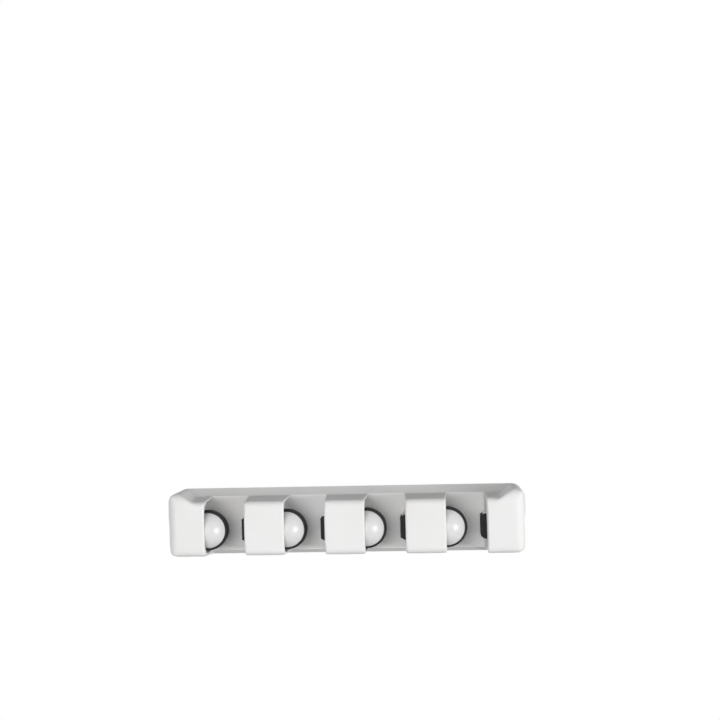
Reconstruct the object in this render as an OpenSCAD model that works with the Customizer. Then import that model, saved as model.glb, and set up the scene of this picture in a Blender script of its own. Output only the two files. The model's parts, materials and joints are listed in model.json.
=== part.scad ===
// Wall rack that holds four long handles by wedging rollers.
// The wall is the plane y = 0, the front faces -y, and depths are counted from the wall.
// A handle stands in a slot between a rubber pad on its right and a roller on its left.
// The roller slides on an inclined guide, so the handle's weight draws it down and tighter.

/* [Slots and blocks] */
// Clear width of a handle slot between the block fronts
slot_w = 39.4; // [37:0.2:46]
// Room beside the roller in a middle block for its screw bosses
boss_room = 4.5; // [4.2:0.1:8]
// Room beyond the roller in an end block
end_room = 1; // [0.4:0.1:4]
// Thickness of the front and side walls of the covers
wall_t = 2.5; // [2:0.1:3]
// Thickness of the top and bottom walls of the covers
roof_t = 2; // [1.6:0.1:3]
// Thickness of the outer wall of an end cover
end_t = 3; // [2.6:0.1:4]
// Rounding of the top and bottom front edges
edge_r = 6.5; // [4:0.5:7.5]
// Rounding of an end cover's upper and outer front edges
end_r = 11; // [9:0.5:13]
// Lean of the end faces, out from the wall to the front
end_lean = 2; // [0.5:0.25:3]
// Bevel on the upright front edges
edge_bevel = 1; // [0.4:0.1:1.5]
// Slope of the block sides away from square, in degrees
draft = 2; // [1:0.25:2.5]
// Fall of the block tops towards the front, in degrees
roof_draft = 2.8; // [1:0.2:4]

/* [Rail] */
// Depth of the rail, from the wall to the backs of the slots
rail_d = 11; // [10.5:0.5:16]
// Height of the slope above the blocks
bevel_h = 7; // [5.4:0.2:9]
// Height of the slope below the blocks
bevel_low = 5.1; // [4.9:0.1:8]
// Thickness of the wall that the rollers are guided in
guide_t = 3; // [2.5:0.1:3.5]
// Thickness of the sloped top and bottom walls
rail_t = 3; // [2.4:0.1:4]
// Thickness of the ribs and end walls
rib_t = 2.5; // [1.8:0.1:3]
// Length of the end covers beyond the rail
wrap_l = 9; // [8.5:0.5:12]

/* [Roller] */
// Outer radius of the rubber tyre
tyre_r = 20; // [19:0.25:22]
// Width of the tyre
tyre_w = 9; // [8:0.25:12]
// Thickness of the tyre's rubber on its drum
tyre_t = 6; // [5:0.25:7]
// Rounding of the tyre's edges
crown_r = 2.5; // [1:0.25:3.5]
// Radius of the dome where it meets the tyre
dome_r = 17.75; // [17:0.25:18.5]
// Height of the dome
dome_h = 11.5; // [9:0.25:13]
// Length of the hub behind the tyre
hub_l = 12.9; // [11:0.1:16]
// Radius of the axle
axle_r = 3; // [2.5:0.1:3.5]
// Reach of the roller's centre past the block's edge at rest
roller_out = 0.5; // [0:0.1:2]

/* [Guide] */
// Travel of the roller along its guide
travel = 14; // [11:0.5:16]
// Rise of the guide above level, in degrees
incline = 26; // [22:1:34]
// Radius of the round ends of the sliding neck
neck_r = 5.7; // [5:0.1:6]
// Distance between the round ends of the sliding neck
neck_l = 6; // [4:0.5:7]
// Thickness of the sliding plates
plate_t = 2; // [1.5:0.1:2]
// Overlap of the sliding plates on the guide wall
plate_lap = 1.5; // [1.2:0.1:1.8]

/* [Pad] */
// Height of the pad where it meets the block
pad_h = 26; // [24:0.5:32]
// Height of the pad's gripping face
pad_face_h = 20; // [16:0.5:22]
// Reach of the pad past the block's front edge
pad_out = 5.8; // [4:0.1:7]
// Distance of the pad behind the block fronts
pad_set = 18; // [12:0.5:20]
// Thickness of the cheeks above and below the pad
cheek_t = 1.8; // [0.8:0.1:2]

/* [Fixings] */
// Radius of the wall screw holes
wall_hole_r = 2.3; // [2:0.1:2.6]
// Distance of the wall screw holes from the rack's ends
wall_hole_in = 22; // [21.5:0.5:24]
// Radius of the cover screws
screw_r = 1.5; // [1.25:0.05:1.6]
// Length of the cover screws under the head
screw_l = 12; // [9:0.5:16]

/* [Hidden] */
stations = 4;
$fn = 64;

// Overrun of every cut past the face that it opens
cut = 1;
// Gaps: sliding faces, hub on axle, fixed pins and seats, tongue in its hole
slide_gap = 0.3;
run_gap = 0.06;
seat_gap = 0.05;
tongue_gap = 0.2;
// Room round the roller: under it, above it, beyond it and in front of it
floor_gap = 1.6;
roof_gap = 1.9;
end_gap = 0.4;
dome_gap = 0.5;

// Roller details
dome_t = 2;
spigot_t = 2;
spigot_l = 4;
lip_t = 1.5;
hub_r = 7;
hub_flange_lap = 2.5;
hub_flange_t = 2;
hub_cone_l = 5;
drum_t = 2.5;
drum_floor = 3;
axle_head_r = 5;
axle_head_t = 2;
axle_tip = 2;
groove_depth = 0.8;
clip_r = 6;
clip_t = 1.2;

// Cover and rail details
window_r = 14;
window_rise = 0.3;
boss_r = 3.2;
boss_sink = 0.6;
boss_end_t = 2;
screw_head_r = 2.7;
screw_head_t = 2;
screw_gap = 0.2;
scoop_t = 1.6;
scoop_top = 10;
scoop_run = 6;
corner_r = 10;
ramp_lift = 0.03;
shoulder_run = 13;
shoulder_in = 3;
shoulder_r = 9;
end_bevel = 6;
tongue_l = 7;
tongue_h = 8;
tongue_t = 3;
tongue_d = 3.5;
tongue_z = 15;
rib_in = 4;
strap_half_w = 8;
strap_t = 2.5;
wall_hole_drop = 6.5;
wall_boss_r = 5.2;
wall_head_r = 4.2;
wall_web = 5;

// Drum under the tyre, and the flange behind it
drum_r = tyre_r - tyre_t;
hub_flange_r = drum_r + hub_flange_lap;

// How far the roller moves sideways and upwards
run = travel * cos(incline);
rise = travel * sin(incline);

// Depths of the roller's stack, from the wall outwards
guide_d = rail_d - guide_t;
keeper_d1 = guide_d - slide_gap;
keeper_d0 = keeper_d1 - plate_t;
axle_d0 = keeper_d0 - axle_head_t;
shoe_d0 = rail_d + slide_gap;
shoe_d1 = shoe_d0 + plate_t;
hub_d0 = shoe_d1 + slide_gap;
tyre_d0 = hub_d0 + hub_l;
tyre_d1 = tyre_d0 + tyre_w;
clip_d0 = tyre_d0 + drum_floor + slide_gap;
clip_d1 = clip_d0 + clip_t;
axle_d1 = clip_d1 + axle_tip;
inside_d = tyre_d1 + dome_h + dome_gap;
rack_d = inside_d + wall_t;

// Blocks are sized round the roller and its travel
roof_slope = tan(roof_draft);
roller_w = tyre_r + run - roller_out + end_gap;
end_w = roller_w + end_room + end_t + end_lean * (1 - tyre_d0 / rack_d);
block_w = roller_w + wall_t + boss_room;
block_h = 2 * tyre_r + rise + 2 * roof_t + floor_gap + roof_gap + (tyre_d1 - rail_d) * roof_slope;
pitch = slot_w + block_w;
rack_l = 2 * end_w + stations * slot_w + (stations - 1) * block_w;
rail_l = rack_l - 2 * wrap_l;
rail_h = block_h + bevel_h + bevel_low;

// Heights, the tops of the blocks where they meet the rail
block_z1 = rail_h / 2 - bevel_h;
block_z0 = block_z1 - block_h;
inside_z1 = block_z1 - roof_t;
inside_z0 = block_z0 + roof_t;
roller_z = inside_z0 + floor_gap + tyre_r;
wall_hole_z = block_z1 - wall_hole_drop;
boss_zs = [inside_z0 + boss_r - boss_sink, inside_z1 - boss_r + boss_sink];

// The sides of a block spread towards the rail
flare = (rack_d - rail_d) * tan(draft);
rail_slope = bevel_h / rail_d;
rail_slope_low = bevel_low / rail_d;
ramp = atan(bevel_low / rack_d);

white = [0.93, 0.93, 0.92];
ivory = [0.86, 0.86, 0.84];
rubber = [0.16, 0.17, 0.18];
steel = [0.72, 0.73, 0.75];

// Left and right edges of slot i, counted from 0
function slot_x0(i) = end_w + i * pitch - rack_l / 2;
function slot_x1(i) = slot_x0(i) + slot_w;
function roller_x(i) = slot_x0(i) + roller_out;
function boss_x(i) = slot_x1(i) + wall_t - flare + boss_r - boss_sink;

// Heights inside the rail at depth d
function rail_inside(d) = rail_h / 2 - rail_t - rail_slope * d;
function rail_inside_low(d) = rail_t + rail_slope_low * d - rail_h / 2;

// Outlines in x and z, drawn out from depth d0 to depth d1
module along_depth(d0, d1)
    translate([0, -d0, 0])
        rotate([90, 0, 0])
            linear_extrude(d1 - d0)
                children();

// Sections in depth and z, drawn out from x0 to x1
module along_x(x0, x1)
    translate([x1, 0, 0])
        rotate([90, 0, -90])
            linear_extrude(x1 - x0)
                children();

// Plans in x and y, drawn out to half_h above and below the middle
module along_z(half_h)
    translate([0, 0, -half_h])
        linear_extrude(2 * half_h)
            children();

// Round bar round the roller's axis
module disc(d0, d1, r)
    translate([0, -d0, 0])
        rotate([90, 0, 0])
            cylinder(h = d1 - d0, r = r);

// Box from three pairs of limits, the second pair in depth
module box(xs, ds, zs)
    translate([xs[0], -ds[1], zs[0]])
        cube([xs[1] - xs[0], ds[1] - ds[0], zs[1] - zs[0]]);

// Bar with round ends, l between their centres
module obround(r, l) {
    square([l, 2 * r], center = true);
    for (s = [-1, 1])
        translate([s * l / 2, 0])
            circle(r);
}

// The same bar lying along the guide
module guide_bar(r, l)
    rotate(-incline)
        obround(r, l);

module at_roller(i)
    translate([roller_x(i), 0, roller_z])
        children();

// Section of a block from z0 to z1 at the rail: its top falls, and its front corners are round
module block_section(d0, d1, z0, z1, r) {
    c_d = d1 - r;
    c_z = z1 - (c_d - rail_d) * roof_slope - r / cos(roof_draft);
    polygon([
        [d0, z0], [c_d, z0], [c_d, z0 + r], [d1, z0 + r], [d1, c_z], [c_d, c_z],
        [c_d + r * sin(roof_draft), c_z + r * cos(roof_draft)], [d0, z1 - (d0 - rail_d) * roof_slope]
    ]);
    for (z = [z0 + r, c_z])
        translate([c_d, z])
            circle(r);
}

// Plan of a block from x0 to x1 at the front, with sloped sides and bevelled front edges
module block_plan(x0, x1, d0, d1, spread, bevel)
    polygon([
        [x0 - spread, -d0], [x0, bevel - d1], [x0 + bevel, -d1],
        [x1 - bevel, -d1], [x1, bevel - d1], [x1 + spread, -d0]
    ]);

module block_outside(x0, x1)
    intersection() {
        along_x(x0 - flare - cut, x1 + flare + cut)
            block_section(rail_d, rack_d, block_z0, block_z1, edge_r);
        along_z(rail_h)
            block_plan(x0, x1, rail_d, rack_d, flare, edge_bevel);
    }

module block_inside(x0, x1, d0)
    intersection() {
        along_x(x0 - flare - cut, x1 + flare + cut)
            block_section(d0, inside_d, inside_z0, inside_z1, edge_r - roof_t);
        along_z(rail_h)
            block_plan(x0 + wall_t, x1 - wall_t, d0, inside_d, flare, edge_bevel);
    }

// Opening in a block's right wall that the roller leans out of, a little taller than the inside
module roller_window(x1)
    along_x(x1 - wall_t - flare, x1 + flare + cut)
        block_section(rail_d - cut, inside_d, inside_z0 - window_rise, inside_z1 + window_rise, window_r);

// Outline of the pad against the block edge x0, made taller by grow
module pad_outline(x0, out, grow)
    polygon([
        [x0, -pad_h / 2 - grow], [x0 - out, -pad_face_h / 2 - grow],
        [x0 - out, pad_face_h / 2 + grow], [x0, pad_h / 2 + grow]
    ]);

module pad_at(x0)
    translate([x0, 0, roller_z])
        children();

// Raised frame on a block's left wall that the pad slides into from the front
module pad_frame(x0)
    pad_at(x0)
        along_depth(rail_d, rack_d - pad_set)
            union() {
                pad_outline(0, pad_out - cheek_t, cheek_t);
                translate([0, -pad_h / 2 - cheek_t])
                    square([wall_t - flare, pad_h + 2 * cheek_t]);
            }

module pad_pocket(x0)
    pad_at(x0)
        along_depth(rail_d + cheek_t, rack_d)
            pad_outline(0, pad_out + cut, seat_gap);

// Section of the rail, open to depth d0 behind it and made taller by grow
module rail_section(d0, grow)
    polygon([
        [d0, rail_slope_low * d0 - rail_h / 2 - grow], [rail_d, block_z0 - grow],
        [rail_d, block_z1 + grow], [d0, rail_h / 2 + grow - rail_slope * d0]
    ]);

module rail_hollow()
    difference() {
        along_x(rib_t - rail_l / 2, rail_l / 2 - rib_t)
            polygon([
                [-cut, rail_inside_low(-cut)], [guide_d, rail_inside_low(guide_d)],
                [guide_d, rail_inside(guide_d)], [-cut, rail_inside(-cut)]
            ]);
        for (i = [0 : stations - 1], x = [slot_x0(i) + slot_w / 2, slot_x1(i) - rib_in])
            box([x - rib_t / 2, x + rib_t / 2], [0, rail_d], [-rail_h, rail_h]);
        box([-strap_half_w, rib_t - strap_half_w], [0, rail_d], [-rail_h, rail_h]);
        box([-strap_half_w, strap_half_w], [0, strap_t], [-rail_h, rail_h]);
        for (s = [-1, 1])
            translate([s * (rack_l / 2 - wall_hole_in), 0, wall_hole_z])
                disc(-cut, rail_d, wall_boss_r);
    }

module rail()
    color(white)
        difference() {
            along_x(-rail_l / 2, rail_l / 2)
                rail_section(0, 0);
            rail_hollow();
            // Inclined guides, one for each roller
            for (i = [0 : stations - 1])
                at_roller(i)
                    translate([-run / 2, 0, rise / 2])
                        along_depth(guide_d - cut, rail_d + cut)
                            guide_bar(neck_r + slide_gap, travel + neck_l);
            // Holes for the screws that hold the middle covers
            for (i = [0 : stations - 2], z = boss_zs)
                translate([boss_x(i), 0, z])
                    disc(guide_d - cut, rail_d + cut, screw_r + screw_gap);
            // Wall screw holes, with room for the heads
            for (s = [-1, 1])
                translate([s * (rack_l / 2 - wall_hole_in), 0, wall_hole_z]) {
                    disc(-cut, rail_d, wall_hole_r);
                    disc(wall_web, rail_d + cut, wall_head_r);
                }
            // Holes in the end walls for the tongues of the end covers
            for (s = [-1, 1], side = [0, 1])
                mirror([side, 0, 0])
                    tongue(s, tongue_gap);
        }

// Tongue of the right end cover, above or below the middle, grown all round by gap
module tongue(s, gap)
    mirror([0, 0, s < 0 ? 1 : 0])
        box([rail_l / 2 - tongue_l - gap, rack_l / 2 - end_lean - end_t / 2],
            [tongue_d - gap, tongue_d + tongue_t + gap],
            [tongue_z - gap, tongue_z + tongue_h + gap]);

// Middle cover between slots i and i + 1
module cover(i) {
    x0 = slot_x1(i);
    x1 = slot_x0(i + 1);
    color(white)
        difference() {
            union() {
                difference() {
                    block_outside(x0, x1);
                    block_inside(x0, x1, rail_d - cut);
                }
                pad_frame(x0);
                for (z = boss_zs)
                    translate([boss_x(i), 0, z])
                        disc(rail_d, rail_d + screw_l + boss_end_t, boss_r);
            }
            roller_window(x1);
            pad_pocket(x0);
            for (z = boss_zs)
                translate([boss_x(i), 0, z])
                    disc(rail_d - cut, rail_d + screw_l, screw_r + seat_gap);
        }
}

// Section of an end cover's outer part: round at the front, clear of the level top and the ramp below
module cap_section() {
    low_d = rack_d - edge_r;
    low_z = low_d * tan(ramp) + edge_r / cos(ramp) - rail_h / 2 - ramp_lift;
    top_d = rack_d - end_r;
    top_z = rail_h / 2 - end_r + ramp_lift;
    polygon([
        [-cut, -rail_h], [low_d, low_z - edge_r], [low_d, low_z], [rack_d, low_z],
        [rack_d, top_z], [top_d, top_z], [top_d, top_z + end_r], [-cut, rail_h]
    ]);
    translate([low_d, low_z])
        circle(edge_r);
    translate([top_d, top_z])
        circle(end_r);
}

// Plan of that part: its end face leans out and rounds into the front
module cap_plan(x0, x1) {
    polygon([
        [x0 + edge_bevel, 0], [x0 + edge_bevel, -rack_d], [x1 - end_r, -rack_d],
        [x1 - end_r, end_r - rack_d], [x1, end_r - rack_d], [x1 - end_lean, 0]
    ]);
    translate([x1 - end_r, end_r - rack_d])
        circle(end_r);
}

// Plan of the room inside it, held off the end face by end_t
module cap_room(x0, x1)
    polygon([
        [x0 - flare, cut], [x0 - flare, -rack_d], [x1 - end_t - end_bevel, -inside_d],
        [x1 - end_t, end_bevel - inside_d], [x1 - end_t - end_lean, 0], [x1 - end_t - end_lean, cut]
    ]);

// Outline of a bar up to x1 and z = 0, with its upper outer corner rounded
module corner_outline(x0, x1) {
    translate([x0, -2 * rail_h])
        square([x1 - x0 - corner_r, 2 * rail_h]);
    translate([x0, -2 * rail_h])
        square([x1 - x0, 2 * rail_h - corner_r]);
    translate([x1 - corner_r, -corner_r])
        circle(corner_r);
}

// Outline of the shoulder: it climbs from the block's top and rounds over into the level top
module shoulder_outline() {
    foot_z = block_z1 - (rack_d - rail_d) * roof_slope;
    top_z = rail_h / 2 + ramp_lift;
    climb = atan((top_z - foot_z) / shoulder_run);
    reach = shoulder_r * tan(climb / 2);
    mid_x = shoulder_run + reach;
    polygon([
        [-(foot_z + rail_h) / tan(climb), -rail_h],
        [shoulder_run - reach * cos(climb), top_z - reach * sin(climb)],
        [mid_x, top_z - shoulder_r], [mid_x, top_z], [rack_l, top_z], [rack_l, -rail_h]
    ]);
    translate([mid_x, top_z - shoulder_r])
        circle(shoulder_r);
}

// Shoulder of the right end cover, from the wall to the front
module shoulder(x1)
    translate([x1 - wrap_l - shoulder_run - shoulder_in, 0, 0])
        along_depth(-rack_d, 2 * rack_d)
            shoulder_outline();

// Outside of the right end cover
module end_outside(x0, x1) {
    block_outside(x0, x1 - end_r);
    intersection() {
        along_x(x0, x1 + cut)
            cap_section();
        along_z(rail_h)
            cap_plan(x0, x1);
        translate([0, 0, rail_h / 2])
            along_depth(-cut, rack_d + cut)
                corner_outline(x0 - cut, x1);
        mirror([0, 0, 1])
            translate([0, 0, rail_h / 2])
                rotate([ramp, 0, 0])
                    along_depth(-rack_d, 2 * rack_d)
                        corner_outline(x0 - cut, x1);
        shoulder(x1);
    }
}

// Right end cover; with_window opens its slot side for a roller, otherwise it carries a pad
module end_cover(with_window) {
    x0 = slot_x1(stations - 1);
    x1 = rack_l / 2;
    color(white)
        difference() {
            union() {
                difference() {
                    end_outside(x0, x1);
                    along_x(x0 - flare - cut, rail_l / 2 + seat_gap)
                        rail_section(-cut, seat_gap);
                    intersection() {
                        block_inside(x0, x1 + flare, -cut);
                        along_z(rail_h)
                            cap_room(x0, x1);
                    }
                }
                if (!with_window)
                    pad_frame(x0);
                for (s = [-1, 1])
                    tongue(s, 0);
            }
            if (with_window)
                mirror([1, 0, 0])
                    roller_window(-x0);
            else
                pad_pocket(x0);
            // Finger scoop on the end face, from the middle down
            along_depth(-cut, rack_d + cut)
                polygon([
                    [x1 + cut, scoop_top], [x1, scoop_top], [x1 - scoop_t, scoop_top - scoop_run],
                    [x1 - scoop_t, -rail_h], [x1 + cut, -rail_h]
                ]);
        }
}

module cover_left_end()
    mirror([1, 0, 0])
        end_cover(true);

module cover_right_end()
    end_cover(false);

// Pan head screws, driven from behind the rail into the middle covers
module cover_screws()
    color(steel)
        for (i = [0 : stations - 2], z = boss_zs)
            translate([boss_x(i), 0, z]) {
                disc(guide_d - screw_head_t, guide_d, screw_head_r);
                disc(guide_d - screw_head_t, guide_d + screw_l, screw_r);
            }

module grip_pad(i)
    color(rubber)
        pad_at(slot_x1(i))
            along_depth(rail_d + cheek_t, rack_d - pad_set)
                pad_outline(0, pad_out, 0);

// Neck through the guide wall, with a plate in front of it
module slide_shoe(i)
    color(ivory)
        at_roller(i)
            difference() {
                union() {
                    along_depth(keeper_d1, shoe_d0)
                        guide_bar(neck_r, neck_l);
                    along_depth(shoe_d0, shoe_d1)
                        guide_bar(neck_r + slide_gap + plate_lap, neck_l);
                }
                disc(keeper_d1 - cut, shoe_d1 + cut, axle_r + seat_gap);
            }

// Plate behind the guide wall
module slide_keeper(i)
    color(ivory)
        at_roller(i)
            difference() {
                along_depth(keeper_d0, keeper_d1)
                    guide_bar(neck_r + slide_gap + plate_lap, neck_l);
                disc(keeper_d0 - cut, keeper_d1 + cut, axle_r + seat_gap);
            }

// Headed axle with a groove for its clip
module roller_axle(i)
    color(steel)
        at_roller(i)
            difference() {
                union() {
                    disc(axle_d0, keeper_d0, axle_head_r);
                    disc(axle_d0, axle_d1, axle_r);
                }
                difference() {
                    disc(clip_d0, clip_d1, axle_r + cut);
                    disc(clip_d0 - cut, clip_d1 + cut, axle_r - groove_depth);
                }
            }

// Open ring that snaps into the groove from below
module axle_clip(i)
    color(steel)
        at_roller(i)
            difference() {
                disc(clip_d0, clip_d1, clip_r);
                disc(clip_d0 - cut, clip_d1 + cut, axle_r - groove_depth + seat_gap);
                box([groove_depth - axle_r, axle_r - groove_depth],
                    [clip_d0 - cut, clip_d1 + cut], [-clip_r - cut, 0]);
            }

// Hub: a long bearing, a flange behind the tyre and a drum under it
module roller_hub(i) {
    bore_r = axle_r + run_gap;
    flange_d = tyre_d0 - hub_flange_t;
    floor_d = tyre_d0 + drum_floor;
    color(ivory)
        at_roller(i)
            rotate([90, 0, 0])
                rotate_extrude()
                    polygon([
                        [bore_r, hub_d0], [hub_r, hub_d0], [hub_r, flange_d - hub_cone_l],
                        [hub_flange_r, flange_d], [hub_flange_r, tyre_d0], [drum_r, tyre_d0],
                        [drum_r, tyre_d1], [drum_r - drum_t, tyre_d1],
                        [drum_r - drum_t, floor_d], [bore_r, floor_d]
                    ]);
}

// Ring with rounded outer edges, bored to fit the drum
module roller_tyre(i)
    color(rubber)
        at_roller(i)
            difference() {
                rotate([90, 0, 0])
                    rotate_extrude() {
                        translate([0, tyre_d0])
                            square([tyre_r - crown_r, tyre_w]);
                        translate([0, tyre_d0 + crown_r])
                            square([tyre_r, tyre_w - 2 * crown_r]);
                        for (d = [tyre_d0 + crown_r, tyre_d1 - crown_r])
                            translate([tyre_r - crown_r, d])
                                circle(crown_r);
                    }
                disc(tyre_d0 - cut, tyre_d1 + cut, drum_r);
            }

// Hollow dome, with a lip on the drum's edge and a spigot inside it
module roller_dome(i) {
    ball_r = (dome_r * dome_r + dome_h * dome_h) / (2 * dome_h);
    ball_d = tyre_d1 + dome_h - ball_r;
    spigot_r = drum_r - drum_t - seat_gap;
    color(white)
        at_roller(i) {
            difference() {
                intersection() {
                    translate([0, -ball_d, 0])
                        sphere(ball_r);
                    disc(tyre_d1, inside_d, tyre_r);
                }
                intersection() {
                    translate([0, -ball_d, 0])
                        sphere(ball_r - dome_t);
                    disc(tyre_d1 + lip_t, inside_d, tyre_r);
                }
                disc(tyre_d1 - cut, tyre_d1 + lip_t + cut, spigot_r - spigot_t);
            }
            difference() {
                disc(tyre_d1 - spigot_l, tyre_d1 + lip_t / 2, spigot_r);
                disc(tyre_d1 - spigot_l - cut, tyre_d1 + lip_t, spigot_r - spigot_t);
            }
        }
}

rail();
cover_left_end();
cover_right_end();
cover_screws();
for (i = [0 : stations - 2])
    cover(i);
for (i = [0 : stations - 1]) {
    grip_pad(i);
    slide_shoe(i);
    slide_keeper(i);
    roller_axle(i);
    axle_clip(i);
    roller_hub(i);
    roller_tyre(i);
    roller_dome(i);
}
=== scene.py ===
import json
import math

import bmesh
import bpy
import numpy as np
from mathutils import Matrix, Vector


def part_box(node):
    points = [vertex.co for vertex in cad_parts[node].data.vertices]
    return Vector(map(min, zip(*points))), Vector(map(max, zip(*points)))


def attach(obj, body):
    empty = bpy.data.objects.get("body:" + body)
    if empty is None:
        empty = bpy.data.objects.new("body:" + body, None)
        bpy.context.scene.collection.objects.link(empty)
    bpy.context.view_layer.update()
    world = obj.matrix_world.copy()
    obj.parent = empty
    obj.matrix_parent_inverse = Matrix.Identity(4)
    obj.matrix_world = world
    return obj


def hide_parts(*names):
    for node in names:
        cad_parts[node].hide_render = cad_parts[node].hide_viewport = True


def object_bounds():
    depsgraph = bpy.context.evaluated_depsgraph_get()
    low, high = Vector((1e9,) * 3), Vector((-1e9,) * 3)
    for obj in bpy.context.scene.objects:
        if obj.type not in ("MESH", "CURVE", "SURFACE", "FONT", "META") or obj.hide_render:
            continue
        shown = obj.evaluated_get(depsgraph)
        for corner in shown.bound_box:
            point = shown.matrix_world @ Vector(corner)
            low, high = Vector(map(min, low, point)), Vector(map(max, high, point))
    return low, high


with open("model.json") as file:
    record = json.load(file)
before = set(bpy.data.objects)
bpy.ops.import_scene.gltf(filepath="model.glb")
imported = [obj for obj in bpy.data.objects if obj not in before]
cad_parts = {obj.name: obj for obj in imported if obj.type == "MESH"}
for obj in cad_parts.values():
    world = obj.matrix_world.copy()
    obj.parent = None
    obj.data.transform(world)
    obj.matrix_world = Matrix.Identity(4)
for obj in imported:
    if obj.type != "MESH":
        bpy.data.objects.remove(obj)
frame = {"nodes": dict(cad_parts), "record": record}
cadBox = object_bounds()
stations = range(1, 1 + sum(name.startswith("roller_tyre_") for name in frame["nodes"]))
bodyOf = {node: body for body, nodes in frame["record"]["behaviour"]["bodies"].items() for node in nodes}
slotOf = {row["node"]: row["material_slot"] for row in frame["record"]["subparts"]}


class Wire:
    # an output socket; arithmetic on wires adds Math nodes to their tree
    def __init__(self, tree, socket):
        self.tree, self.socket = tree, socket

    def combine(self, operation, first, second):
        node = self.tree.nodes.new("ShaderNodeMath")
        node.operation = operation
        for socket, value in zip(node.inputs, (first, second)):
            plug(self.tree, socket, value)
        return Wire(self.tree, node.outputs[0])

    def __add__(self, other):
        return self.combine("ADD", self, other)

    def __radd__(self, other):
        return self.combine("ADD", other, self)

    def __sub__(self, other):
        return self.combine("SUBTRACT", self, other)

    def __rsub__(self, other):
        return self.combine("SUBTRACT", other, self)

    def __mul__(self, other):
        return self.combine("MULTIPLY", self, other)

    def __rmul__(self, other):
        return self.combine("MULTIPLY", other, self)


def plug(tree, socket, value):
    # a wire is linked to the socket, any other value is set on it
    if isinstance(value, Wire):
        tree.links.new(value.socket, socket)
    else:
        socket.default_value = value


class NodeTree:
    # the nodes of one material or of the world, emptied first
    def __init__(self, owner):
        owner.use_nodes = True
        self.owner, self.tree = owner, owner.node_tree
        self.tree.nodes.clear()

    def add(self, kind, settings=None, sockets=None, out=0):
        # settings are set first, then the sockets, which are named or counted
        node = self.tree.nodes.new(kind)
        for name, value in (settings or {}).items():
            setattr(node, name, value)
        for name, value in (sockets or {}).items():
            plug(self.tree, node.inputs[name], value)
        return Wire(self.tree, node.outputs[out]) if node.outputs else None

    def noise(self, scale, detail, stretch=(1, 1, 1)):
        place = self.add("ShaderNodeTexCoord", out="Object")
        place = self.add("ShaderNodeMapping", sockets={"Vector": place, "Scale": stretch})
        return self.add("ShaderNodeTexNoise", sockets={"Vector": place, "Scale": scale, "Detail": detail})

    def spread(self, value, low, high):
        # 0 below low, 1 above high, smooth between
        return self.add("ShaderNodeMapRange", {"interpolation_type": "SMOOTHSTEP"},
                        {"Value": value, "From Min": low, "From Max": high})

    def tint(self, factor, first, second):
        # sockets 6 and 7 and output 2 of a Mix node are its colours
        return self.add("ShaderNodeMix", {"data_type": "RGBA"},
                        {0: factor, 6: (*first, 1), 7: (*second, 1)}, out=2)

    def bump(self, height, strength, distance):
        return self.add("ShaderNodeBump",
                        sockets={"Height": height, "Strength": strength, "Distance": distance})

    def coat(self, **sockets):
        named = {name.replace("_", " "): value for name, value in sockets.items()}
        shader = self.add("ShaderNodeBsdfPrincipled", sockets=named)
        self.add("ShaderNodeOutputMaterial", sockets={"Surface": shader})
        return self.owner


def newFinish(name):
    return NodeTree(bpy.data.materials.new(name))


mouldLook = dict(cloudDetail=3.0, cloudLimits=(0.35, 0.75), cloudGloss=0.05,
                 grainDetail=2.0, grainGloss=0.12, grainBump=0.25, ior=1.5)
shellLook = dict(white=(0.835, 0.833, 0.830), warm=(0.815, 0.808, 0.797), roughness=0.58,
                 grain=2400, grainDepth=0.00004, cloud=22)
domeFinishLook = dict(white=(0.725, 0.725, 0.727), warm=(0.70, 0.699, 0.695), roughness=0.3,
                      grain=900, grainDepth=0.00002, cloud=45)
nylonLook = dict(white=(0.72, 0.715, 0.69), warm=(0.68, 0.67, 0.635), roughness=0.45,
                 grain=1500, grainDepth=0.00004, cloud=60)


def mouldedPlastic(name, look):
    # faint uneven tone, and the fine grain of a textured mould in gloss and bump
    nodes = newFinish(name)
    cloud = nodes.spread(nodes.noise(look["cloud"], mouldLook["cloudDetail"]), *mouldLook["cloudLimits"])
    grain = nodes.noise(look["grain"], mouldLook["grainDetail"])
    uneven = mouldLook["grainGloss"] * (grain - 0.5) + mouldLook["cloudGloss"] * cloud
    return nodes.coat(
        Base_Color=nodes.tint(cloud, look["white"], look["warm"]),
        Roughness=look["roughness"] + uneven,
        Normal=nodes.bump(grain, mouldLook["grainBump"], look["grainDepth"]),
        IOR=mouldLook["ior"])


rubberLook = dict(dark=(0.008, 0.009, 0.0102), dusty=(0.019, 0.0203, 0.022), roughness=0.54,
                  cloud=90, cloudDetail=4.0, cloudLimits=(0.4, 0.72), cloudShare=0.8, cloudGloss=0.1,
                  grain=3000, grainDetail=3.0, grainShare=0.2, grainGloss=0.12,
                  grainBump=0.35, grainDepth=0.00008, shine=0.25, ior=1.52)


def rubberFinish(look):
    # dark rubber with a dusty bloom in patches and a fine matt grain
    nodes = newFinish("blackRubber")
    cloud = nodes.spread(nodes.noise(look["cloud"], look["cloudDetail"]), *look["cloudLimits"])
    grain = nodes.noise(look["grain"], look["grainDetail"])
    dust = cloud * look["cloudShare"] + grain * look["grainShare"]
    return nodes.coat(
        Base_Color=nodes.tint(dust, look["dark"], look["dusty"]),
        Roughness=look["roughness"] + look["grainGloss"] * grain + look["cloudGloss"] * cloud,
        Normal=nodes.bump(grain, look["grainBump"], look["grainDepth"]),
        Specular_IOR_Level=look["shine"],
        IOR=look["ior"])


steelLook = dict(bright=(0.62, 0.62, 0.61), dull=(0.47, 0.47, 0.465), roughness=0.25,
                 patch=240, patchDetail=3.0, patchLimits=(0.35, 0.7), patchGloss=0.1,
                 marks=1400, marksDetail=2.0, marksStretch=(0.15, 1, 1), marksGloss=0.1,
                 marksBump=0.2, marksDepth=0.00003)


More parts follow.
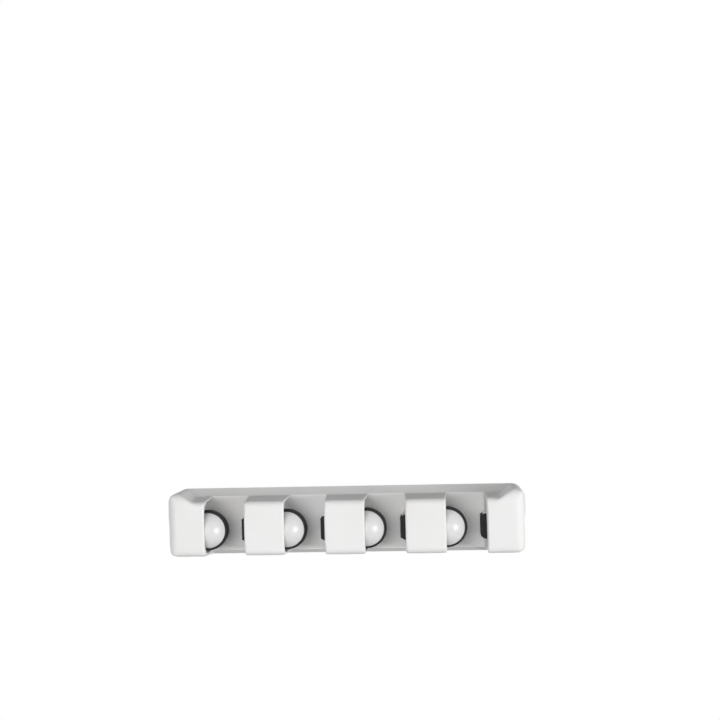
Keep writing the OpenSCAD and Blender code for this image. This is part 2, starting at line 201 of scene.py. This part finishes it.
def steelFinish(look):
    # zinc plated steel: bright and dull patches, with turning marks drawn out along one direction
    nodes = newFinish("platedSteel")
    patch = nodes.spread(nodes.noise(look["patch"], look["patchDetail"]), *look["patchLimits"])
    marks = nodes.noise(look["marks"], look["marksDetail"], look["marksStretch"])
    return nodes.coat(
        Base_Color=nodes.tint(patch, look["bright"], look["dull"]),
        Metallic=1.0,
        Roughness=look["roughness"] + look["marksGloss"] * marks + look["patchGloss"] * patch,
        Normal=nodes.bump(marks, look["marksBump"], look["marksDepth"]))


finishes = {
    "white_plastic": mouldedPlastic("satinShell", shellLook),
    "dome_plastic": mouldedPlastic("polishedDome", domeFinishLook),
    "natural_plastic": mouldedPlastic("naturalNylon", nylonLook),
    "black_rubber": rubberFinish(rubberLook),
    "screw_steel": steelFinish(steelLook),
}
for nodeName, nodeObject in frame["nodes"].items():
    for materialSlot in nodeObject.material_slots:
        materialSlot.material = finishes[slotOf[nodeName]]
print("finishes made:", ", ".join(sorted(finishes)))

meshLook = dict(merge=1e-7, tiny=1e-8, sharp=40, copyMerge=1e-6)


def gridMesh(name, points, closeRows=False):
    # rows of points that each close on themselves, joined by quads; closeRows joins the last row to the first;
    # poles and seams are merged, and faces turned outwards
    rows, columns = points.shape[:2]
    index = np.arange(rows * columns).reshape(rows, columns)
    if closeRows:
        index = np.vstack([index, index[:1]])
    index = np.hstack([index, index[:, :1]])
    quads = np.stack([index[:-1, :-1], index[1:, :-1], index[1:, 1:], index[:-1, 1:]], axis=-1)
    mesh = bpy.data.meshes.new(name)
    mesh.from_pydata(points.reshape(-1, 3), [], quads.reshape(-1, 4).tolist())
    shape = bmesh.new()
    shape.from_mesh(mesh)
    bmesh.ops.remove_doubles(shape, verts=shape.verts, dist=meshLook["merge"])
    bmesh.ops.dissolve_degenerate(shape, edges=shape.edges, dist=meshLook["tiny"])
    bmesh.ops.recalc_face_normals(shape, faces=shape.faces)
    shape.to_mesh(mesh)
    shape.free()
    mesh.shade_smooth()
    mesh.set_sharp_from_angle(angle=math.radians(meshLook["sharp"]))
    return mesh


def addPiece(name, mesh, nodeName):
    # a piece that stands for a node rides on its body and takes its finish
    piece = bpy.data.objects.new(name, mesh)
    bpy.context.scene.collection.objects.link(piece)
    mesh.materials.clear()
    mesh.materials.append(finishes[slotOf[nodeName]])
    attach(piece, bodyOf[nodeName])
    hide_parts(nodeName)
    return piece


def addGrid(name, points, nodeName, closeRows=False):
    addPiece(name, gridMesh(name, points, closeRows), nodeName)


def arc(centre, radius, start, end, count):
    # points at equal angles on a circle; angles in degrees from the first axis
    turn = np.radians(np.linspace(start, end, count))
    return np.column_stack([centre[0] + radius * np.cos(turn), centre[1] + radius * np.sin(turn)])


def revolve(profile, centre, count):
    # each (radius, depth) of the profile is turned round an axis that runs straight out from the wall
    turn = np.linspace(0, 2 * np.pi, count, endpoint=False)
    radius, depth = profile[:, :1], profile[:, 1:]
    return np.stack([centre[0] + radius * np.cos(turn),
                     -depth + 0 * turn,
                     centre[1] + radius * np.sin(turn)], axis=-1)


def nodeAxis(nodeName):
    # middle of a node in x and z, half its width, and its depths from and to
    low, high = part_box(nodeName)
    centre = ((low[0] + high[0]) / 2, (low[2] + high[2]) / 2)
    return centre, (high[0] - low[0]) / 2, -high[1], -low[1]


domeLook = dict(wall=0.002, rim=0.0006, spigot=0.01145, capSteps=40, rimSteps=8, innerSteps=16, turns=144)


def domeProfile(tyreFront, spigotEnd, tip, radius, look):
    # a ball's cap from its tip to a rounded rim, in to the spigot, and back under the wall
    height = tip - tyreFront
    ball = (radius ** 2 + height ** 2) / (2 * height)
    ballDepth = tip - ball
    rim, wall, spigot = look["rim"], look["wall"], look["spigot"]
    rimDepth = tyreFront + rim
    rimRadius = math.sqrt((ball - rim) ** 2 - (rimDepth - ballDepth) ** 2)
    rimAngle = math.degrees(math.atan2(rimDepth - ballDepth, rimRadius))
    innerAngle = math.degrees(math.acos((spigot - wall) / (ball - wall)))
    return np.vstack([
        arc((0, ballDepth), ball, 90, rimAngle, look["capSteps"]),
        arc((rimRadius, rimDepth), rim, rimAngle, -90, look["rimSteps"])[1:],
        [(spigot, tyreFront), (spigot, spigotEnd), (spigot - wall, spigotEnd)],
        arc((0, ballDepth), ball - wall, innerAngle, 90, look["innerSteps"])])


for i in stations:
    _, _, _, tyreFront = nodeAxis(f"roller_tyre_{i}")
    centre, radius, spigotEnd, tip = nodeAxis(f"roller_dome_{i}")
    profile = domeProfile(tyreFront, spigotEnd, tip, radius, domeLook)
    addGrid(f"roller_cap_{i}", revolve(profile, centre, domeLook["turns"]), f"roller_dome_{i}")
print("domes made")

tyreLook = dict(inner=0.014, crown=0.0024, innerEdge=0.0004, seam=0.00012, seamWidth=0.0003,
                treadSteps=25, crownSteps=9, edgeSteps=5, turns=160)


def tyreProfile(radius, back, front, look):
    # a ring's section: wide round outer corners, small inner ones and a fine moulding seam half way
    crown, edge, inner = look["crown"], look["innerEdge"], look["inner"]
    tread = radius - look["seam"]
    across = np.linspace(-1, 1, look["treadSteps"])[1:-1] * ((front - back) / 2 - crown)
    seam = look["seam"] * np.exp(-(across / look["seamWidth"]) ** 2)
    return np.vstack([
        arc((tread - crown, back + crown), crown, -90, 0, look["crownSteps"]),
        np.column_stack([tread + seam, (front + back) / 2 + across]),
        arc((tread - crown, front - crown), crown, 0, 90, look["crownSteps"]),
        arc((inner + edge, front - edge), edge, 90, 180, look["edgeSteps"]),
        arc((inner + edge, back + edge), edge, 180, 270, look["edgeSteps"])])


for i in stations:
    centre, radius, back, front = nodeAxis(f"roller_tyre_{i}")
    points = revolve(tyreProfile(radius, back, front, tyreLook), centre, tyreLook["turns"])
    addGrid(f"roller_ring_{i}", points, f"roller_tyre_{i}", closeRows=True)
print("tyres made")

padLook = dict(faceHeight=0.020, edge=0.0009, ribs=9, ribDepth=0.00035, ribReach=0.05,
               perFace=180, cornerSteps=7, edgeSteps=6)


def roundedOutline(corners, radius, perCorner, perSide=0):
    # a closed outline: an arc tangent to both sides at each corner, with points along each side between;
    # radius is one number, or one for each corner
    corners = np.asarray(corners, float)
    toNext = np.roll(corners, -1, axis=0) - corners
    toNext /= np.linalg.norm(toNext, axis=1, keepdims=True)
    fromLast = np.roll(toNext, 1, axis=0)
    bend = np.arccos(np.clip((fromLast * toNext).sum(axis=1), -1, 1))
    setback = (radius * np.tan(bend / 2))[:, None]
    share = np.linspace(0, 1, perCorner)[None, :, None]
    start, end = (corners - setback * fromLast)[:, None], (corners + setback * toNext)[:, None]
    # a quadratic rational curve is the exact arc when its middle weight is the cosine of half the bend
    early, late = (1 - share) ** 2, share ** 2
    middle = 2 * share * (1 - share) * np.cos(bend / 2)[:, None, None]
    arcs = (early * start + middle * corners[:, None] + late * end) / (early + middle + late)
    step = np.linspace(0, 1, perSide + 2)[1:-1][None, :, None]
    sides = end + step * (np.roll(start, -1, axis=0) - end)
    return np.concatenate([arcs, sides], axis=1).reshape(-1, 2)


def padPoints(low, high, look):
    # the outline drawn out along the depth, its ends drawn in on a quarter round to a closed centre;
    # ribs run along the depth on the face alone
    middle, half = (low[2] + high[2]) / 2, look["faceHeight"] / 2
    corners = [(high[0], low[2]), (high[0], high[2]), (low[0], middle + half), (low[0], middle - half)]
    outline = roundedOutline(corners, look["edge"], look["cornerSteps"], look["perFace"])
    fromFace = (outline[:, 0] - low[0]) / (high[0] - low[0])
    onFace = np.clip(1 - fromFace / look["ribReach"], 0, 1)
    wave = 0.5 - 0.5 * np.cos(2 * np.pi * look["ribs"] * (outline[:, 1] - middle) / look["faceHeight"])
    outline[:, 0] += look["ribDepth"] * wave * onFace
    centre = np.array([(low[0] + high[0]) / 2, middle])
    reach = np.array([(high[0] - low[0]) / 2, (high[2] - low[2]) / 2])
    turn = np.linspace(0, np.pi / 2, look["edgeSteps"])
    inset = look["edge"] * (1 - np.sin(turn))
    depthIn = look["edge"] * (1 - np.cos(turn))
    insets = np.concatenate([inset, inset[::-1]])
    depths = np.concatenate([-high[1] + depthIn, -low[1] - depthIn[::-1]])
    shrink = 1 - insets[:, None] / reach[None]
    rings = centre + (outline - centre)[None] * shrink[:, None]
    caps = np.broadcast_to(centre, (1, len(outline), 2))
    rings = np.concatenate([caps, rings, caps])
    depths = np.concatenate([depths[:1], depths, depths[-1:]])
    return np.stack([rings[..., 0], -depths[:, None] + 0 * rings[..., 0], rings[..., 1]], axis=-1)


for i in stations:
    addGrid(f"grip_block_{i}", padPoints(*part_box(f"grip_pad_{i}"), padLook), f"grip_pad_{i}")
print("pads made")

hubLook = dict(bore=0.00306, sleeve=0.007, cone=0.005, flange=0.002, tyreWidth=0.009,
               drum=0.014, drumWall=0.0025, floor=0.003, edge=0.0003, edgeSteps=5, turns=96)


def hubProfile(radius, back, front, look):
    # a section of the hub: sleeve, cone and flange behind the tyre, then the open drum under it
    tyreBack = front - look["tyreWidth"]
    flangeBack = tyreBack - look["flange"]
    cup, floorDepth = look["drum"] - look["drumWall"], tyreBack + look["floor"]
    corners = [(look["bore"], back), (look["sleeve"], back), (look["sleeve"], flangeBack - look["cone"]),
               (radius, flangeBack), (radius, tyreBack), (look["drum"], tyreBack), (look["drum"], front),
               (cup, front), (cup, floorDepth), (look["bore"], floorDepth)]
    return roundedOutline(corners, look["edge"], look["edgeSteps"])


axleLook = dict(shaft=0.003, head=0.002, groove=0.0008, grooveWidth=0.0012, tip=0.002,
                edge=0.0004, edgeSteps=5, turns=64)


def axleProfile(radius, back, front, look):
    # a headed pin with a groove for its clip near the front; it starts and ends on the axis
    shaft, edge = look["shaft"], look["edge"]
    waist, headFront = shaft - look["groove"], back + look["head"]
    grooveEnd = front - look["tip"]
    grooveStart = grooveEnd - look["grooveWidth"]
    corners = [(0, back), (radius, back), (radius, headFront), (shaft, headFront), (shaft, grooveStart),
               (waist, grooveStart), (waist, grooveEnd), (shaft, grooveEnd), (shaft, front), (0, front)]
    rounds = np.array([0, edge, edge, 0, 0, 0, 0, 0, edge, 0])
    return roundedOutline(corners, rounds, look["edgeSteps"])


for i in stations:
    centre, radius, back, front = nodeAxis(f"roller_hub_{i}")
    points = revolve(hubProfile(radius, back, front, hubLook), centre, hubLook["turns"])
    addGrid(f"roller_drum_{i}", points, f"roller_hub_{i}", closeRows=True)
    centre, radius, back, front = nodeAxis(f"roller_axle_{i}")
    points = revolve(axleProfile(radius, back, front, axleLook), centre, axleLook["turns"])
    addGrid(f"axle_pin_{i}", points, f"roller_axle_{i}")
print("hubs and axles made")

slideLook = dict(incline=26, between=0.006, neck=0.0057, plate=0.0075, plateThick=0.002, bore=0.00305,
                 edge=0.0004, edgeSteps=5, perEnd=33)


def slidePoints(centre, corners, rounds, look):
    # a section of (radius, depth) carried round two half circles set apart along the guide;
    # points on the bore go round one full circle instead
    section = roundedOutline(corners, np.asarray(rounds), look["edgeSteps"])
    apart = np.where(section[:, 0] > look["bore"] + look["edge"], look["between"], 0)[:, None]
    halfTurn = np.linspace(-90, 90, look["perEnd"])
    turn = np.radians(np.concatenate([halfTurn, halfTurn + 180]))
    end = np.repeat([0.5, -0.5], look["perEnd"])
    along = apart * end + section[:, :1] * np.cos(turn)
    across = section[:, :1] * np.sin(turn)
    slope = math.radians(look["incline"])
    return np.stack([centre[0] + along * math.cos(slope) + across * math.sin(slope),
                     -section[:, 1:] + 0 * turn,
                     centre[1] + across * math.cos(slope) - along * math.sin(slope)], axis=-1)


bore, neck, plate, edge = (slideLook[name] for name in ("bore", "neck", "plate", "edge"))
for i in stations:
    centre, _, back, front = nodeAxis(f"slide_shoe_{i}")
    plateBack = front - slideLook["plateThick"]
    corners = [(bore, back), (neck, back), (neck, plateBack),
               (plate, plateBack), (plate, front), (bore, front)]
    points = slidePoints(centre, corners, [0, edge, 0, edge, edge, 0], slideLook)
    addGrid(f"slide_block_{i}", points, f"slide_shoe_{i}", closeRows=True)
    centre, _, back, front = nodeAxis(f"slide_keeper_{i}")
    corners = [(bore, back), (plate, back), (plate, front), (bore, front)]
    points = slidePoints(centre, corners, [0, edge, edge, 0], slideLook)
    addGrid(f"slide_plate_{i}", points, f"slide_keeper_{i}", closeRows=True)
print("slides made")

screwLook = dict(columns=3, head=0.0027, headThick=0.002, dome=0.0005, rim=0.0007, shank=0.0015, point=0.0016,
                 pitch=0.0011, thread=0.00022, plainRows=2, recess=0.0009, arm=0.00042, armSoft=0.00014,
                 armLength=0.0017, endSoft=0.00028, faceSteps=36, rimSteps=7, shankSteps=96, turns=120)


def screwPoints(centre, back, front, look):
    # a domed head, its rim and a shank are one profile turned round the axis; a cross is pressed into
    # the head, and the shank's radius swells and shrinks along a helix
    flat = look["head"] - look["rim"]
    reach = np.linspace(0, 1, look["faceSteps"])
    face = np.column_stack([flat * reach, back + look["dome"] * reach ** 2])
    rimDepth = back + look["dome"] + look["rim"]
    rim = arc((flat, rimDepth), look["rim"], -90, 0, look["rimSteps"])[1:]
    under = back + look["headThick"]
    depth = np.linspace(under, front - look["point"], look["shankSteps"])
    shank = np.column_stack([np.full_like(depth, look["shank"]), depth])
    profile = np.vstack([face, rim, [(look["head"], under)], shank, [(0, front)]])
    points = revolve(profile, (0, 0), look["turns"])
    away = np.abs(points[:len(face), :, 0]), np.abs(points[:len(face), :, 2])
    arms = [np.clip((look["arm"] - away[k]) / look["armSoft"], 0, 1) *
            np.clip((look["armLength"] - away[1 - k]) / look["endSoft"], 0, 1) for k in (0, 1)]
    points[:len(face), :, 1] -= look["recess"] * np.maximum(*arms)
    turn = np.linspace(0, 2 * np.pi, look["turns"], endpoint=False)
    firstShank = len(face) + len(rim) + 1
    rows = slice(firstShank + look["plainRows"], -look["plainRows"])  # no thread at the head and the point
    phase = 2 * np.pi * profile[rows, 1:] / look["pitch"] - turn
    cutIn = 1 - look["thread"] / look["shank"] * (0.5 - 0.5 * np.cos(phase))
    points[rows, :, 0] *= cutIn
    points[rows, :, 2] *= cutIn
    return points + np.array([centre[0], 0, centre[1]])


def screwPlaces(look):
    # the middles of the separate screws, in two rows between the corners of their one node
    low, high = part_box("cover_screws")
    across = np.linspace(low[0] + look["head"], high[0] - look["head"], look["columns"])
    return [(x, z) for x in across for z in (low[2] + look["head"], high[2] - look["head"])]


_, _, back, front = nodeAxis("cover_screws")
for count, centre in enumerate(screwPlaces(screwLook), 1):
    addGrid(f"cover_screw_{count}", screwPoints(centre, back, front, screwLook), "cover_screws")
print("screws made")


def mergedCopy(nodeName, name, flatAngle=0):
    # a node's own shape with its loose triangles merged; faces within the angle of one plane are joined
    mesh = frame["nodes"][nodeName].data.copy()
    mesh.name = name
    shape = bmesh.new()
    shape.from_mesh(mesh)
    bmesh.ops.remove_doubles(shape, verts=shape.verts, dist=meshLook["copyMerge"])
    if flatAngle:
        bmesh.ops.dissolve_limit(shape, angle_limit=math.radians(flatAngle),
                                 verts=shape.verts, edges=shape.edges)
    shape.to_mesh(mesh)
    shape.free()
    return mesh


railLook = dict(edge=0.0004, edgeAngle=38, edgeSteps=2, flatAngle=0.5, flatWeight=100)


def softRail(look):
    # the rail's own shape with its sharp edges rounded over
    mesh = mergedCopy("rail", "rail_body", look["flatAngle"])
    mesh.shade_smooth()
    piece = addPiece("rail_body", mesh, "rail")
    rounding = piece.modifiers.new("softEdges", "BEVEL")
    rounding.width = look["edge"]
    rounding.segments = look["edgeSteps"]
    rounding.limit_method = "ANGLE"
    rounding.angle_limit = math.radians(look["edgeAngle"])
    rounding.harden_normals = False
    evening = piece.modifiers.new("evenShading", "WEIGHTED_NORMAL")  # wide flat faces keep their own normals
    evening.mode = "FACE_AREA"
    evening.weight = look["flatWeight"]


softRail(railLook)
print("rail softened")

netLook = dict(spacing=0.0006, edgeSteps=5)
endLook = dict(steps=50, slot=(0.0362, 0.031), wall=(0.0115, 0.016),
               top=(0.013, 0.019), bottom=(0.016, 0.022))
coverLook = dict(steps=26, side=(0.0065, 0.003), front=(0.034, 0.040), edge=(0.013, 0.006),
                 faceDepth=0.0005, facePercent=(1, 99))


def evenNet(mesh, spacing):
    # the same closed shape as a net of small even faces, in place of the first mesh
    holder = bpy.data.objects.new("net", mesh)
    bpy.context.scene.collection.objects.link(holder)
    remake = holder.modifiers.new("net", "REMESH")
    remake.mode, remake.voxel_size = "VOXEL", spacing
    made = bpy.data.meshes.new_from_object(holder.evaluated_get(bpy.context.evaluated_depsgraph_get()))
    bpy.data.objects.remove(holder)
    bpy.data.meshes.remove(mesh)
    return made


def rise(value, limits):
    # 0 at the first limit, 1 at the second, smooth between
    share = np.clip((value - limits[0]) / (limits[1] - limits[0]), 0, 1)
    return share * share * (3 - 2 * share)


def easeNet(mesh, weight, steps):
    # each point moves half way to the mean of its neighbours, times its weight, once a step
    count = len(mesh.vertices)
    place, ends = np.empty(count * 3), np.empty(len(mesh.edges) * 2, int)
    mesh.vertices.foreach_get("co", place)
    mesh.edges.foreach_get("vertices", ends)
    place, ends = place.reshape(-1, 3), ends.reshape(-1, 2)
    start, end = np.concatenate([ends, ends[:, ::-1]]).T
    neighbours = np.bincount(start, minlength=count)[:, None]
    share = 0.5 * weight(place)[:, None]
    for _ in range(steps):
        mean = np.stack([np.bincount(start, place[end, k], count) for k in range(3)], axis=-1) / neighbours
        place = place + share * (mean - place)
    mesh.vertices.foreach_set("co", place.reshape(-1))
    mesh.update()


def everyEdge(place):
    return np.ones(len(place))


def endEase(place):
    # full where the shoulder, the outer corner and the round edges meet;
    # none at the slot, at the wall and half way up
    outer = cadBox[1][0] - np.abs(place[:, 0])
    height = np.maximum(rise(place[:, 2], endLook["top"]), rise(-place[:, 2], endLook["bottom"]))
    return rise(outer, endLook["slot"]) * rise(-place[:, 1], endLook["wall"]) * height


def coverEase(place):
    # full at the four front corners of a middle cover, none half way along its edges
    low, high = place.min(axis=0), place.max(axis=0)
    face = place[place[:, 1] < low[1] + coverLook["faceDepth"]]
    faceLow, faceHigh = np.percentile(face[:, 0], coverLook["facePercent"])
    side = rise(np.minimum(place[:, 0] - faceLow, faceHigh - place[:, 0]), coverLook["side"])
    edge = rise(np.minimum(place[:, 2] - low[2], high[2] - place[:, 2]), coverLook["edge"])
    return side * edge * rise(-place[:, 1], coverLook["front"])


def softCover(nodeName, ease, steps):
    # a cover's own shape with all its edges rounded a little, and eased more where its forms meet
    name = nodeName.replace("cover", "cover_shell")
    mesh = evenNet(mergedCopy(nodeName, name), netLook["spacing"])
    mesh.name = name
    easeNet(mesh, everyEdge, netLook["edgeSteps"])
    easeNet(mesh, ease, steps)
    mesh.shade_smooth()
    addPiece(name, mesh, nodeName)
    print("cover eased:", name, len(mesh.vertices), "points")


for nodeName in ("cover_left_end", "cover_right_end"):
    softCover(nodeName, endEase, endLook["steps"])
for nodeName in ("cover_1", "cover_2", "cover_3"):
    softCover(nodeName, coverEase, coverLook["steps"])

floorLook = dict(drop=1.2, radius=0.9, turns=96, pale=(0.84, 0.84, 0.84), speckled=(0.8, 0.8, 0.8),
                 speck=30, speckDetail=3.0, roughness=0.7, glow=0.7, fade=(0.3, 0.88))


def makeFloor(look):
    # a round flat floor well below the rack, which fades into the background towards its rim
    turn = np.linspace(0, 2 * np.pi, look["turns"], endpoint=False)
    radius = np.array([0.0, look["radius"]])[:, None]
    points = np.stack([radius * np.cos(turn), radius * np.sin(turn),
                       -look["drop"] + 0 * radius * turn], axis=-1)
    floor = bpy.data.objects.new("floor", gridMesh("floor", points))
    bpy.context.scene.collection.objects.link(floor)
    nodes = newFinish("paleFloor")
    colour = nodes.tint(nodes.noise(look["speck"], look["speckDetail"]), look["pale"], look["speckled"])
    matt = nodes.add("ShaderNodeBsdfPrincipled",
                     sockets={"Base Color": colour, "Roughness": look["roughness"]})
    white = nodes.add("ShaderNodeEmission", sockets={"Color": (1, 1, 1, 1), "Strength": 1.0})
    level = nodes.add("ShaderNodeVectorMath", {"operation": "MULTIPLY"},
                      {0: nodes.add("ShaderNodeTexCoord", out="Object"), 1: (1, 1, 0)})
    reach = nodes.add("ShaderNodeVectorMath", {"operation": "LENGTH"}, {0: level}, out="Value")
    glow = look["glow"] + (1 - look["glow"]) * nodes.spread(reach, *look["fade"])
    seen = nodes.add("ShaderNodeLightPath", out="Is Camera Ray") * glow  # pale to the camera, matt to light
    both = nodes.add("ShaderNodeMixShader", sockets={0: seen, 1: matt, 2: white})
    nodes.add("ShaderNodeOutputMaterial", sockets={"Surface": both})
    floor.data.materials.append(nodes.owner)


worldLook = dict(side=0.4, above=0.17, below=0.0, seen=1.0, fade=(0.02, 0.5))


def makeWorld(look):
    # white to the camera and to mirror-like surfaces; to all else a softer grey light from the sides,
    # dimmer from above and none from below
    world = bpy.data.worlds.new("studio")
    bpy.context.scene.world = world
    nodes = NodeTree(world)
    isCamera, isGlossy, isTransmission = (
        nodes.add("ShaderNodeLightPath", out=f"Is {kind} Ray")
        for kind in ("Camera", "Glossy", "Transmission"))
    heading = nodes.add("ShaderNodeTexCoord", out="Generated")
    height = nodes.add("ShaderNodeSeparateXYZ", sockets={0: heading}, out="Z")
    side, above, below, white = (
        nodes.add("ShaderNodeBackground", sockets={"Color": (1, 1, 1, 1), "Strength": look[name]})
        for name in ("side", "above", "below", "seen"))
    light = nodes.add("ShaderNodeMixShader",
                      sockets={0: nodes.spread(height, *look["fade"]), 1: side, 2: above})
    light = nodes.add("ShaderNodeMixShader",
                      sockets={0: nodes.spread(0 - height, *look["fade"]), 1: light, 2: below})
    both = nodes.add("ShaderNodeMixShader",
                     sockets={0: isCamera + isGlossy + isTransmission, 1: light, 2: white})
    nodes.add("ShaderNodeOutputWorld", sockets={"Surface": both})


def placed(right, up, back, place):
    # a lamp or camera at a place, shining or looking along its own -z
    return Matrix([[right[k], up[k], back[k], place[k]] for k in range(3)] + [[0, 0, 0, 1]])


lampAim = (0, -0.03, 0)
lampLook = dict(
    front=dict(place=(-0.6, -2.6, 0.35), size=2.4, power=31.5),
    right=dict(place=(4.68, -3.66, -0.25), size=2.0, power=222),
    left=dict(place=(-3.0, -0.6, 0.0), size=1.2, power=15),
    back=dict(place=(-0.5, 1.6, -0.15), size=1.0, power=9))


def addLamp(name, look):
    # a round soft lamp turned towards the middle of the rack
    lamp = bpy.data.lights.new(name, "AREA")
    lamp.shape, lamp.size, lamp.energy = "DISK", look["size"], look["power"]
    back = np.subtract(look["place"], lampAim)
    back /= np.linalg.norm(back)
    right = np.cross((0, 0, 1), back)
    right /= np.linalg.norm(right)
    holder = bpy.data.objects.new(name, lamp)
    holder.matrix_world = placed(right, np.cross(back, right), back, look["place"])
    bpy.context.scene.collection.objects.link(holder)


makeFloor(floorLook)
makeWorld(worldLook)
for name, look in lampLook.items():
    addLamp(name + "Lamp", look)
print("stage and lamps set")

cameraLook = dict(place=(0.09033, -1.05, 0.14414), yaw=4.0712, pitch=-0.9319, roll=-1.4208,
                  focal=1032.96, frame=720, sensor=36, clipStart=0.01)  # focal length and frame in pixels


def makeCamera(look):
    # yaw turns it to the left, pitch down, and roll tips the picture
    yaw, pitch, roll = (math.radians(look[name]) for name in ("yaw", "pitch", "roll"))
    forward = np.array([-math.sin(yaw) * math.cos(pitch), math.cos(yaw) * math.cos(pitch), -math.sin(pitch)])
    level = np.array([math.cos(yaw), math.sin(yaw), 0])
    upright = np.cross(level, forward)
    right = math.cos(roll) * level + math.sin(roll) * upright
    up = math.cos(roll) * upright - math.sin(roll) * level
    camera = bpy.data.cameras.new("camera")
    camera.sensor_width = look["sensor"]
    camera.lens = look["focal"] * look["sensor"] / look["frame"]
    camera.clip_start = look["clipStart"]
    holder = bpy.data.objects.new("camera", camera)
    holder.matrix_world = placed(right, up, -forward, look["place"])
    bpy.context.scene.collection.objects.link(holder)
    bpy.context.scene.camera = holder


makeCamera(cameraLook)
bpy.context.scene.view_settings.view_transform = "Standard"
print("camera set")
